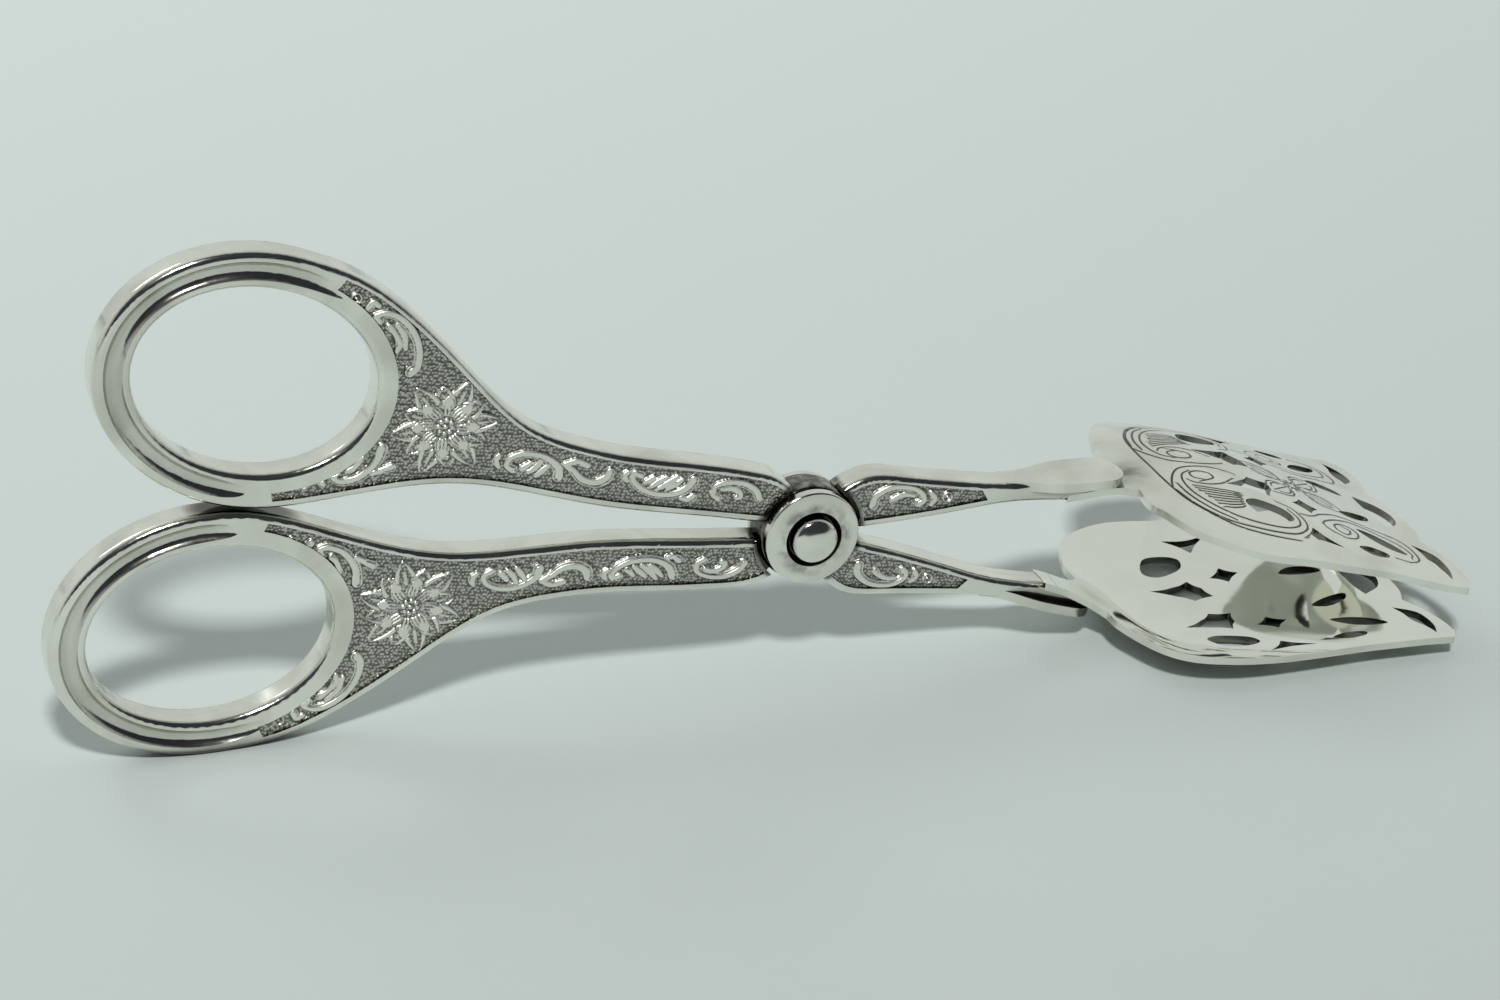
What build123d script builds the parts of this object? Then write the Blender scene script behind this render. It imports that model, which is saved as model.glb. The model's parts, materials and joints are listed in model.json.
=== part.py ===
from build123d import *
import os
from math import cos, radians, sin

# Scissor-action serving tongs in silver: two struck levers with oval finger rings, riveted
# together in a lap joint under round caps, and two pierced scoops soldered to the jaws.
#
# Everything is drawn flat first: X runs from the finger rings to the scoops, Y is the height
# above the line on which the two levers mirror each other, Z comes towards the viewer and
# the pivot is the origin. The last step stands the tongs up with the width along world Y.

# ---- driving dimensions, mm ------------------------------------------------------------

THICK = 4.2                 # thickness of both levers
EDGE_ROUND = 0.8            # rounding of the outer edges of a lever

RING_X, RING_Y = -74.3, 16.4
RING_TURN = -10.3           # degrees, tilt of the oval's long axis
HOLE_A, HOLE_B = 15.0, 11.5         # half axes of the finger hole
RING_A, RING_B = 19.6, 16.05        # half axes of the outside of the ring

HUB_R = 6.5                 # round lap of each lever
SHOULDER_R = 7.0            # hollow shoulder that the other lap turns in
LAP_GAP = 0.04              # between the two laps

RIVET_R = 1.9
BORE_PLAY = 0.05            # radial, in the lever that turns
CAP_R = 6.2
CAP_EDGE = 1.3              # height of the cap's rim above the lever
CAP_CROWN = 0.4             # how far the cap rises from its rim to the groove
CAP_PLAY = 0.03             # under the cap, on the lever that turns
CAP_HOLE_R = 3.1
CAP_GROOVE = 0.6            # width of the groove round the rivet head, at its top
CAP_GROOVE_DEPTH = 0.75
CAP_ROUND = 0.3             # rounding of the cap's rim
DOME_R = 3.0                # rivet head
DOME_RISE = 1.5             # rivet head above the cap's crown

RIM = 1.0                   # plain rim beside a sunk panel
HOLE_RIM = 2.45             # plain rim between the finger hole and the panel
PANEL_DEPTH = 0.5
LAP_PANEL_R = 6.75          # where a panel ends on the lap
SHOULDER_PANEL_R = 7.4      # where a panel ends at a shoulder
CHANNEL_WIDTH = 2.3         # hollow channel round the ring
CHANNEL_DEPTH = 0.65
CHANNEL_INSET = 2.2         # from the finger hole to the middle of the channel
CHANNEL_END_R = 2.1         # rounded end of the channel, left standing in the panel

SHEET = 0.95                # thickness of the scoops
STEM_END = 35.0             # where the stem of a scoop butts against the jaw
TONGUE_HALF = 3.6           # half width of the jaw's flat tongue on the scoop's stem
TONGUE_THICK = 1.2
TONGUE_FLARE = 26.0         # where the tongue starts to widen from the jaw
TONGUE_STRAIGHT = 39.0      # where its rounded end starts
TONGUE_END = 42.6

REST_TILT = 9.4             # degrees, from the mirror line to the table


# ---- helpers ---------------------------------------------------------------------------

def on_ellipse(a, b, turn):
    """Point and direction on a ring ellipse at the parameter `turn`, in degrees."""
    u, tilt = radians(turn), radians(RING_TURN)
    px, py = a * cos(u), b * sin(u)
    tx, ty = -a * sin(u), b * cos(u)
    point = (RING_X + px * cos(tilt) - py * sin(tilt), RING_Y + px * sin(tilt) + py * cos(tilt))
    direction = (tx * cos(tilt) - ty * sin(tilt), tx * sin(tilt) + ty * cos(tilt))
    return point, direction


def ring_ellipse(a, b):
    return Pos(RING_X, RING_Y) * Rot(0, 0, RING_TURN) * Ellipse(a, b)


def closed(*curves):
    """The flat face inside curves that meet end to end."""
    return make_face(Wire([edge for curve in curves for edge in curve.edges()]))


def slab(face, low, high):
    return extrude(Pos(0, 0, low) * face, amount=high - low)


def mirrored(shape):
    """The same shape on the other side of the mirror line."""
    return mirror(shape, about=Plane.XZ)


def inset(curve, distance, first, last, count=9):
    """A curve beside the stretch from `first` to `last` of a curve, to its left if distance > 0."""
    points = []
    for step in range(count):
        place = first + (last - first) * step / (count - 1)
        point, along = curve @ place, curve % place
        points.append((point.X - along.Y * distance, point.Y + along.X * distance))
    return Spline(*points)


# ---- outlines, drawn above the mirror line -----------------------------------------------

HANDLE_TOP = [(-64.3, 30.35), (-57.6, 26.7), (-47.1, 18.3), (-42.7, 14.7), (-38.3, 12.1), (-33.0, 10.5),
              (-25.6, 9.3), (-18.2, 8.8), (-12.4, 8.4), (-8.1, 7.9), (-5.6, 7.3), (-3.8, 6.3), (-2.8, 5.2)]
HANDLE_LOW = [(-62.3, 1.9), (-54.0, 3.75), (-46.6, 4.5), (-39.0, 3.85), (-28.0, 2.3), (-13.0, 1.45), (-5.5, 1.05)]
JAW_TOP = [(2.0, 4.6), (4.2, 6.8), (6.2, 7.9), (12.0, 8.25), (18.4, 8.0), (24.0, 7.9), (30.0, 8.3), (36.0, 9.2),
           (42.6, 9.9)]
JAW_LOW = [(6.0, 0.8), (12.6, 2.0), (21.2, 3.95), (26.2, 5.1), (31.0, 5.65), (STEM_END, 5.85)]


def handle_curves():
    top_start, top_dir = on_ellipse(RING_A, RING_B, 88)
    low_start, low_dir = on_ellipse(RING_A, RING_B, -74)
    top = Spline(top_start, *HANDLE_TOP, tangents=[(-top_dir[0], -top_dir[1]), (1, -1.4)])
    low = Spline(low_start, *HANDLE_LOW, tangents=[low_dir, (1, -0.03)])
    return top, low


def jaw_curves():
    return Spline(*JAW_TOP), Spline(*JAW_LOW)


def handle_face():
    top, low = handle_curves()
    arm = closed(top, Polyline(top @ 1, (0, 0), low @ 1), low, Polyline(low @ 0, (RING_X, RING_Y), top @ 0))
    return ring_ellipse(RING_A, RING_B) + arm - ring_ellipse(HOLE_A, HOLE_B)


def jaw_face():
    """The jaw up to where the stem of the scoop butts against it."""
    top, low = jaw_curves()
    whole = closed(top, Polyline(low @ 0, (0, 0), top @ 0), low, Line(low @ 1, top @ 1))
    return whole & (Pos(0, 0) * Rectangle(2 * STEM_END, 60))


def handle_panel():
    top, low = handle_curves()
    inner_top = inset(top, -RIM, 0.073, 0.985, 18)
    inner_low = inset(low, RIM, 0.03, 1.0, 10)
    ends = [inner_top @ 1, (0, 4), inner_low @ 1]
    far = [inner_low @ 0, (RING_X, RING_Y), inner_top @ 0]
    panel = closed(inner_top, Polyline(*ends), inner_low, Polyline(*far))
    return panel - ring_ellipse(HOLE_A + HOLE_RIM, HOLE_B + HOLE_RIM) - channel_end()


def channel_end():
    """The rounded end of the ring's channel that bulges into the panel."""
    point, _ = on_ellipse(HOLE_A + CHANNEL_INSET, HOLE_B + CHANNEL_INSET, -84)
    return Pos(*point) * Circle(CHANNEL_END_R)


def jaw_panel():
    top, low = jaw_curves()
    inner_top = inset(top, -RIM, 0.0, 0.52, 12)
    inner_low = inset(low, RIM, 0.0, 0.62)
    ends = [inner_low @ 0, (0, 4), inner_top @ 0]
    far = [inner_low @ 1, inner_top @ 1]
    return closed(inner_top, Polyline(*ends), inner_low, Line(*far))


# ---- levers --------------------------------------------------------------------------------

# Turn round the ring from the side nearest the pivot, and the share of the channel's depth there.
CHANNEL_COURSE = [(62, -0.25), (73, 0.3), (85, 0.75), (100, 0.97), (125, 1.0), (155, 1.0), (180, 1.0), (205, 1.0),
                  (235, 1.0), (258, 1.0), (268, 0.95), (276, 0.55), (283, -0.25)]


def channel(face_z):
    """The hollow round the ring, as a solid to cut from the face at height `face_z`.

    It is a rod swept round the ring, which rises out of the face slowly at the outer end and
    steeply at the end nearest the mirror line."""
    radius = (CHANNEL_WIDTH ** 2 / 4 + CHANNEL_DEPTH ** 2) / (2 * CHANNEL_DEPTH)
    side = 1 if face_z > 0 else -1
    a, b = HOLE_A + CHANNEL_INSET, HOLE_B + CHANNEL_INSET
    points = []
    for turn, share in CHANNEL_COURSE:
        (x, y), _ = on_ellipse(a, b, turn)
        points.append((x, y, face_z + side * (radius - share * CHANNEL_DEPTH)))
    path = Spline(*points)
    section = Plane(path @ 0, z_dir=path % 0) * Circle(radius)
    return sweep(section, path=path)


def tongue():
    """The flat flange on the outer side of a jaw's tip."""
    top, _ = jaw_curves()
    under = inset(top, -TONGUE_THICK, 0.55, 1.0)
    over = inset(top, 0.0, 0.55, 1.0)
    flange = closed(over, Line(over @ 1, under @ 1), under, Line(under @ 0, over @ 0))
    web = closed(Polyline((STEM_END - 1, 6.2), (38.5, 7.1), (TONGUE_END, 8.75), (42.4, 9.4), (STEM_END - 1, 8.4),
                          close=True))
    start = (TONGUE_FLARE, THICK / 2 - EDGE_ROUND / 2)
    wide_end, tip_end = (TONGUE_STRAIGHT, TONGUE_HALF), (TONGUE_END, 0)
    flare = Spline(start, (30, 2.3), (STEM_END, TONGUE_HALF), tangents=[(1, 0), (1, 0.02)])
    side = Line((STEM_END, TONGUE_HALF), wide_end)
    tip = Spline(wide_end, (41.6, 2.55), tip_end, tangents=[(1, 0), (0, -1)])
    half = closed(flare, side, tip, Polyline(tip_end, (TONGUE_FLARE, 0), start))
    plan = half + mirror(half, about=Plane.XZ)
    cutter = Rot(90, 0, 0) * slab(plan, -20, 20)
    wide = slab(flange, -2 * TONGUE_HALF, 2 * TONGUE_HALF) & cutter
    narrow = slab(web, -THICK / 2, THICK / 2) & cutter
    return wide + narrow


def rounded_arm(face):
    """A handle or a jaw with the round lap it joins, its outer edges rounded."""
    body = slab(face + Circle(HUB_R), -THICK / 2, THICK / 2)
    rims = [e for e in body.edges() if abs((e @ 0).Z - (e @ 1).Z) < 1e-6 and abs(abs((e @ 0).Z) - THICK / 2) < 1e-6]
    return fillet(rims, EDGE_ROUND)


def lever(bore_r):
    """A whole lever with its handle above the mirror line and its lap on the viewer's side."""
    body = rounded_arm(handle_face()) + rounded_arm(mirrored(jaw_face()))
    body += mirrored(tongue())
    for side, end_r in ((1, LAP_PANEL_R), (-1, SHOULDER_PANEL_R)):
        face_z = side * THICK / 2
        low, high = sorted((face_z - side * PANEL_DEPTH, face_z + side))
        for panel in (handle_panel(), mirrored(jaw_panel())):
            body -= slab(panel - Circle(end_r), low, high)
        body -= channel(face_z)
    body -= slab(Circle(SHOULDER_R), -THICK / 2 - 1, LAP_GAP / 2)
    return body - Cylinder(bore_r, 2 * THICK)


# ---- scoops --------------------------------------------------------------------------------

# Outer surface of the upper scoop: X, height on the middle line, droop at the side.
SCOOP_LINE = [(33.0, 6.3, 1.8), (37.2, 7.2, 2.0), (40.5, 8.25, 2.1), (44.4, 9.6, 2.3), (48.0, 10.6, 2.7),
              (54.0, 11.0, 3.1), (60.5, 10.35, 2.9), (67.5, 8.9, 2.4), (75.0, 7.0, 1.6), (83.0, 5.15, 0.9),
              (91.0, 4.3, 0.7)]
SCOOP_HALF = 19.8           # half width at which the droop is given
DROOP_POWER = 2.4
SHEET_HALF = 22.0           # half width of the sheet before it is cut to the outline
SHEET_ROWS = 13


def scoop_sheet():
    """The arched sheet before it is cut to the outline, from its outer surface inwards."""
    widths = [SHEET_HALF * (2 * step / (SHEET_ROWS - 1) - 1) for step in range(SHEET_ROWS)]
    rows = []
    for x, height, droop in SCOOP_LINE:
        rows.append([Vector(x, height - droop * (abs(w) / SCOOP_HALF) ** DROOP_POWER, w) for w in widths])
    face = Face.make_surface_from_array_of_points(rows, tol=0.01)
    return extrude(face, amount=SHEET, dir=(0, -1, 0))


def scoop_plan():
    """Half of the scoop's outline, seen from above: X and distance from the middle line."""
    stem = Spline((STEM_END, 2.1), (39.0, 2.3), (43.3, 4.9), tangents=[(1, 0), (1, 1.2)])
    side = Spline((43.3, 4.9), (43.9, 10.5), (47.0, 16.6), (54.0, 19.9), (64.0, 20.0), (73.0, 19.5),
                  (80.0, 19.7), (86.0, 19.8), tangents=[(-0.15, 1), (1, 0.05)])
    lobe = Spline((86.0, 19.8), (87.3, 14.0), (85.3, 7.4), tangents=[(0.5, -1), (-0.8, -1)])
    middle = Spline((85.3, 7.4), (86.6, 3.6), (86.9, 0), tangents=[(0.9, -1), (0, -1)])
    half = closed(stem, side, lobe, middle, Polyline((86.9, 0), (STEM_END, 0), (STEM_END, 2.1)))
    return half + mirror(half, about=Plane.XZ)


# Pierced openings on one side of the scoop's middle line, seen from above.
OPENINGS = {
    "kidney": [(56.0, 9.8), (57.6, 8.6), (60.0, 9.1), (62.0, 10.3), (62.3, 12.1), (60.4, 13.0), (57.4, 12.7)],
    "petal_slot": [(73.6, 4.7), (76.0, 3.5), (78.9, 3.3), (78.2, 4.9), (75.4, 5.8)],
    "curl_slot": [(73.7, 9.4), (76.2, 9.8), (78.8, 11.4), (79.9, 13.3), (77.3, 13.0), (75.0, 11.5)],
    "edge_slot": [(71.2, 14.8), (73.4, 14.0), (75.9, 14.7), (75.2, 15.8), (72.8, 16.0)],
}
HOLLOW_SIDED = {
    "scroll": [(55.2, 5.3), (58.2, 3.6), (60.2, 1.9), (63.1, 2.5), (62.5, 4.9), (61.3, 6.9), (58.8, 5.9)],
    "diamond": [(64.7, 6.9), (66.7, 5.2), (68.8, 7.0), (66.8, 8.8)],
    "wedge": [(61.6, 16.1), (64.7, 13.0), (68.2, 16.1)],
}
SIDE_HOLLOW = 0.07          # how far those sides bend in, as a part of their length


def hollow_sided(corners):
    """A closed face whose sides bend inwards between its corners."""
    middle_x = sum(x for x, _ in corners) / len(corners)
    middle_y = sum(y for _, y in corners) / len(corners)
    sides = []
    for (x0, y0), (x1, y1) in zip(corners, corners[1:] + corners[:1]):
        half_x, half_y = (x0 + x1) / 2, (y0 + y1) / 2
        pull = SIDE_HOLLOW * ((x1 - x0) ** 2 + (y1 - y0) ** 2) ** 0.5
        reach = ((middle_x - half_x) ** 2 + (middle_y - half_y) ** 2) ** 0.5
        bend = (half_x + (middle_x - half_x) * pull / reach, half_y + (middle_y - half_y) * pull / reach)
        sides.append(ThreePointArc((x0, y0), bend, (x1, y1)))
    return closed(*sides)


def crescent(first, outside, last, inside):
    return closed(ThreePointArc(first, outside, last), ThreePointArc(last, inside, first))


def scoop_openings():
    half = [closed(Spline(*points, periodic=True)) for points in OPENINGS.values()]
    half += [hollow_sided(corners) for corners in HOLLOW_SIDED.values()]
    half.append(crescent((82.7, 9.3), (85.6, 13.4), (84.4, 18.0), (83.3, 13.6)))
    middle = crescent((81.4, -4.7), (85.2, 0), (81.4, 4.7), (81.0, 0))
    return [middle] + half + [mirror(face, about=Plane.XZ) for face in half]


def scoop():
    plan = scoop_plan()
    for face in scoop_openings():
        plan -= face
    return scoop_sheet() & (Rot(90, 0, 0) * slab(plan, -25, 25))


# ---- pivot ---------------------------------------------------------------------------------

def cap(side, play):
    """Round cap washer on one face, turned from its half section."""
    floor = THICK / 2 + play
    rim = floor + CAP_EDGE
    crown = rim + CAP_CROWN
    seat = crown - CAP_GROOVE_DEPTH
    edge = RadiusArc((CAP_R, rim - CAP_ROUND), (CAP_R - CAP_ROUND, rim), -CAP_ROUND)
    slope = Spline(edge @ 1, (CAP_R - 1.5, rim + 0.6 * CAP_CROWN), (CAP_HOLE_R + CAP_GROOVE, crown))
    hollow = Line(slope @ 1, (CAP_HOLE_R, seat))
    rest = Polyline(hollow @ 1, (RIVET_R, seat), (RIVET_R, floor), (CAP_R - 0.15, floor), (CAP_R, floor + 0.15),
                    edge @ 0)
    return turned(closed(edge, slope, hollow, rest), side)


def turned(face, side):
    shape = revolve(Plane.XZ * face, axis=Axis.Z)
    return shape if side > 0 else mirror(shape, about=Plane.XY)


def rivet():
    """Shank with a domed head over each cap."""
    seat = THICK / 2 + CAP_EDGE + CAP_CROWN - CAP_GROOVE_DEPTH
    top = THICK / 2 + CAP_EDGE + CAP_CROWN + DOME_RISE
    wall = Line((DOME_R, seat + CAP_PLAY), (DOME_R, seat + 0.9))
    dome = Spline(wall @ 1, (DOME_R * 0.75, top - 0.45), (0, top), tangents=[(0, 1), (-1, 0)])
    head = closed(wall, dome, Polyline((0, top), (0, seat + CAP_PLAY), (DOME_R, seat + CAP_PLAY)))
    shank = Cylinder(RIVET_R, 2 * (seat + CAP_PLAY + 0.2))
    return shank + turned(head, 1) + turned(head, -1)


# ---- the whole object -----------------------------------------------------------------------

def build():
    upper, lower = scoop(), mirrored(scoop())
    pieces = {
        "front_lever": lever(RIVET_R + BORE_PLAY) - lower,
        "back_lever": Rot(180, 0, 0) * lever(RIVET_R) - upper,
        "upper_scoop": upper,
        "lower_scoop": lower,
        "front_cap": cap(1, CAP_PLAY),
        "rear_cap": cap(-1, 0.0),
        "pivot_rivet": rivet(),
    }
    stand = Rot(0, REST_TILT, 0) * Rot(90, 0, 0)
    pieces = {name: stand * shape for name, shape in pieces.items()}
    box = Compound([s for shape in pieces.values() for s in shape.solids()]).bounding_box()
    place = Pos(-(box.min.X + box.max.X) / 2, 0, -box.min.Z)
    return {name: place * shape for name, shape in pieces.items()}


os.makedirs("parts", exist_ok=True)
for node, shape in build().items():
    export_step(shape, f"parts/{node}.step")
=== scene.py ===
import json
import math

import bpy
import numpy as np
from mathutils import Matrix, Vector
from mathutils.geometry import delaunay_2d_cdt


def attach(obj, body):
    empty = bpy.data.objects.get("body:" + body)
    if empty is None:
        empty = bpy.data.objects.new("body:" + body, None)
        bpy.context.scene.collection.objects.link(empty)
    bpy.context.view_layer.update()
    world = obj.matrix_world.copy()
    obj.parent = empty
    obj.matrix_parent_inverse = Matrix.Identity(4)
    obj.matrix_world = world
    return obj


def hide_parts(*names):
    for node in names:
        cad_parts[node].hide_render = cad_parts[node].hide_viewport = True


# Silver scissor-action tongs. The CAD levers, caps and rivet are shown with silver materials. The struck
# ornament lies on the levers as relief sheets, and the scoops are rebuilt with their engraved lines.
#
# Lengths are millimetres in the drawing of one lever: X runs from the finger ring to the scoop, Y is
# the height above the line on which the two levers mirror each other, and the pivot is the origin.

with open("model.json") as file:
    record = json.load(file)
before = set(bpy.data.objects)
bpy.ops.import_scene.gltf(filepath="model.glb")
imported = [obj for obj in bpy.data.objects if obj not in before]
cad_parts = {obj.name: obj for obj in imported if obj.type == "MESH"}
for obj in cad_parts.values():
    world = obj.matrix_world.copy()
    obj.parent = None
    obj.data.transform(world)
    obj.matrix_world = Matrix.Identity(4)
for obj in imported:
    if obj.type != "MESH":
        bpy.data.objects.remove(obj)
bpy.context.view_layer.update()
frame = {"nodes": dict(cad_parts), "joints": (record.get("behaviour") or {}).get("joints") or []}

PIVOT = Vector(frame["joints"][0]["pos_m"])
REST_TILT = math.radians(9.4)       # from the mirror line to the table
MM = 0.001
THICK = 4.2                         # of the levers
PANEL_DEPTH = 0.5                   # of the sunk panels on the levers


def to_world(x, y, z):
    """Points of the drawing, in mm, as rows of world positions in metres. Z runs to the front."""
    across = x * math.cos(REST_TILT) + y * math.sin(REST_TILT)
    up = y * math.cos(REST_TILT) - x * math.sin(REST_TILT)
    return np.stack([PIVOT.x + across * MM, -z * MM, PIVOT.z + up * MM], axis=-1)


def from_world(points):
    """World positions back to the drawing's X, Y and Z, in mm."""
    across, up = (points[:, 0] - PIVOT.x) / MM, (points[:, 2] - PIVOT.z) / MM
    x = across * math.cos(REST_TILT) - up * math.sin(REST_TILT)
    y = across * math.sin(REST_TILT) + up * math.cos(REST_TILT)
    return x, y, -points[:, 1] / MM


# ---- curves ------------------------------------------------------------------------------------

def smooth(points, step, closed=False):
    """Points along a Catmull-Rom curve through rows of numbers, about `step` apart."""
    rows = np.array(points, float)
    if closed:
        ring = np.vstack([rows[-1], rows, rows[0], rows[1]])
    else:
        ring = np.vstack([2 * rows[0] - rows[1], rows, 2 * rows[-1] - rows[-2]])
    pieces = []
    for a, b, c, d in zip(ring, ring[1:], ring[2:], ring[3:]):
        count = max(2, int(np.linalg.norm((c - b)[:2]) / step) + 1)
        t = np.linspace(0, 1, count, endpoint=False)[:, None]
        pieces.append(0.5 * (2 * b + (c - a) * t + (2 * a - 5 * b + 4 * c - d) * t ** 2
                             + (3 * b - a - 3 * c + d) * t ** 3))
    return np.vstack(pieces if closed else pieces + [rows[-1:]])


def scatter(i, j, kind):
    """A repeatable number between -1 and 1 for each cell."""
    value = np.sin(i * 12.9898 + j * 78.233 + kind * 37.719) * 43758.5453
    return 2 * (value - np.floor(value)) - 1


def inside(x, y, loops):
    """Whether each point is inside an odd number of closed loops of (x, y) rows."""
    odd = np.zeros(len(x), bool)
    for loop in loops:
        for (x0, y0), (x1, y1) in zip(loop, np.roll(loop, -1, axis=0)):
            if y0 != y1:
                crosses = (y0 > y) != (y1 > y)
                odd ^= crosses & (x < (x1 - x0) * (y - y0) / (y1 - y0) + x0)
    return odd


# ---- struck ornament of the levers --------------------------------------------------------------

# Strokes are (X, Y, half width) along the middle of each raised scroll, leaf or bead.
FLOWER = (-50.2, 11.9)
HANDLE_STROKES = [
    # scroll beside the top of the ring
    [(-60.8, 25.0, 0.45), (-61.3, 25.4, 0.3), (-60.0, 25.8, 0.34), (-58.5, 25.4, 0.38), (-57.0, 24.3, 0.4),
     (-55.9, 22.8, 0.4), (-55.3, 21.1, 0.42), (-55.3, 19.5, 0.5), (-55.9, 18.7, 0.55)],
    [(-59.5, 24.2, 0.3), (-58.6, 23.4, 0.16), (-57.9, 22.2, 0.3), (-58.0, 21.2, 0.12)],
    [(-58.6, 24.6, 0.12), (-57.4, 23.2, 0.22), (-57.0, 21.6, 0.1)],
    [(-62.3, 26.5, 0.42), (-61.9, 27.1, 0.3), (-61.2, 26.8, 0.15)],
    # scroll beside the foot of the ring
    [(-62.7, 5.4, 0.4), (-63.0, 4.7, 0.3), (-61.8, 4.2, 0.38), (-60.0, 4.7, 0.42), (-58.7, 5.8, 0.46),
     (-57.8, 7.2, 0.5), (-57.5, 8.8, 0.6)],
    [(-61.2, 5.6, 0.3), (-60.5, 6.3, 0.2), (-59.8, 7.6, 0.3)],
    [(-58.2, 5.5, 0.14), (-57.0, 6.0, 0.28), (-55.9, 6.4, 0.45)],
    [(-64.7, 5.1, 0.12), (-64.5, 4.4, 0.32), (-64.1, 3.8, 0.3)],
    # first scroll of the arm, its tail and its leaf
    [(-40.7, 6.9, 0.45), (-41.5, 7.4, 0.3), (-41.1, 8.3, 0.32), (-39.6, 8.85, 0.34), (-37.8, 8.8, 0.36),
     (-36.2, 8.2, 0.4), (-35.0, 7.2, 0.52), (-34.8, 6.2, 0.62)],
    [(-34.2, 7.8, 0.12), (-33.0, 7.0, 0.3), (-31.7, 5.9, 0.42), (-29.9, 5.5, 0.5), (-28.5, 6.1, 0.6),
     (-28.1, 7.0, 0.5)],
    [(-34.1, 7.9, 0.1), (-32.7, 8.2, 0.28), (-31.2, 7.8, 0.24)],
    [(-39.5, 7.0, 0.28), (-38.6, 7.8, 0.16)],
    [(-38.7, 6.6, 0.14), (-37.9, 7.2, 0.24), (-37.3, 8.1, 0.12)],
    [(-37.6, 6.2, 0.14), (-36.9, 6.9, 0.26), (-36.3, 7.6, 0.12)],
    [(-42.8, 8.6, 0.1), (-43.1, 7.9, 0.3), (-42.6, 7.1, 0.1)],
    # second scroll, open at the top
    [(-24.0, 6.9, 0.4), (-24.9, 7.1, 0.26), (-25.0, 6.1, 0.3), (-23.6, 4.95, 0.36), (-21.6, 4.35, 0.38),
     (-19.4, 4.4, 0.42), (-17.7, 5.2, 0.52), (-16.9, 6.4, 0.6)],
    [(-23.1, 5.9, 0.3), (-22.3, 6.6, 0.14)],
    [(-22.4, 5.4, 0.12), (-21.5, 6.1, 0.26), (-20.6, 6.7, 0.12)],
    [(-21.4, 5.2, 0.12), (-20.3, 5.9, 0.28), (-19.2, 6.9, 0.12)],
    [(-20.2, 5.2, 0.12), (-19.3, 5.8, 0.24), (-18.5, 6.5, 0.1)],
    [(-18.2, 4.0, 0.12), (-17.3, 3.9, 0.24), (-16.6, 4.2, 0.45)],
    [(-25.8, 7.2, 0.1), (-26.2, 6.6, 0.3), (-25.7, 6.0, 0.1)],
    # third scroll, closed at the top
    [(-13.2, 4.3, 0.4), (-14.1, 4.9, 0.26), (-13.7, 5.8, 0.3), (-12.1, 6.3, 0.34), (-10.1, 6.2, 0.38),
     (-8.5, 5.4, 0.42), (-7.8, 4.4, 0.42)],
    [(-12.9, 5.4, 0.1), (-11.7, 5.6, 0.22), (-10.7, 5.2, 0.28), (-10.4, 4.6, 0.3), (-10.8, 4.4, 0.2)],
]
JAW_STROKES = [
    [(8.0, 4.2, 0.58), (8.2, 5.3, 0.5), (9.5, 6.3, 0.4), (11.1, 6.7, 0.36), (12.9, 6.6, 0.34),
     (14.2, 6.0, 0.34), (14.7, 5.2, 0.36), (14.2, 4.7, 0.45)],
    [(10.5, 4.9, 0.36), (11.2, 5.5, 0.22), (12.3, 5.8, 0.16), (13.3, 5.7, 0.1)],
    [(15.6, 6.2, 0.1), (16.2, 5.4, 0.3), (15.9, 4.6, 0.1)],
]
HANDLE_RINGS = [(-64.1, 27.5), (-66.5, 3.8)]
JAW_RINGS = [(18.0, 5.7)]
RING_R, RING_WIRE, RING_BEAD = 0.62, 0.17, 0.24     # the wire's ring and half width, and the bead in it

PITCH = 0.44                # of the punched ground
JITTER = 0.27               # how far a mound leaves the middle of its cell, as a share of the pitch
MOUND_R = 0.25
MOUND_SPREAD = 0.2          # how much that radius varies, as a share
MOUND_HEIGHT = 0.1
GROUND = 0.05               # the sheet above the pocket's floor
RELIEF_TOP = 0.47           # top of the ornament above the pocket's floor
GRID = 0.1                  # spacing of the relief mesh
TUCK = 0.3                  # how far the sheet reaches into the metal beside the panel
FLOOR_SLACK = 0.01          # within which a point counts as on the pocket's floor
SHOULDER = 0.34             # share of a stroke's half width that slopes
STROKE_STEP = 0.08          # spacing of points along a stroke
WIDEN = 0.22                # every stroke is this much wider on each side at its foot
CREASE_FROM = 0.5           # half width at the foot from which a stroke has a crease along its inner side
CREASE_PLACE, CREASE_WIDTH = 0.5, 0.14      # as shares of the half width
CREASE_DEPTH = 0.45         # as a share of the ornament's height
MOUND_SHINE = 0.52          # polish on top of a mound, where 1 is fully bright
# Below that height the strokes' sides keep the dark colour, which is patina and painted shade along their
# foot.
RUB_FROM, RUB_SLOPE = 2.4 / 3.5, 3.5        # height from which the ornament is rubbed bright, and how fast


def punched(x, y):
    """0 to 1 over the ground: one small mound in each cell of jittered, staggered rows."""
    j0 = np.floor(y / PITCH)
    height = np.zeros_like(x)
    for j in (j0 - 1, j0, j0 + 1):
        stagger = 0.5 * (j % 2)
        i0 = np.floor(x / PITCH - stagger)
        for i in (i0 - 1, i0, i0 + 1):
            px = (i + 0.5 + stagger + JITTER * scatter(i, j, 0)) * PITCH
            py = (j + 0.5 + JITTER * scatter(i, j, 1)) * PITCH
            radius = MOUND_R * (1 + MOUND_SPREAD * scatter(i, j, 2))
            height = np.maximum(height, 1 - ((x - px) ** 2 + (y - py) ** 2) / radius ** 2)
    return height


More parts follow.
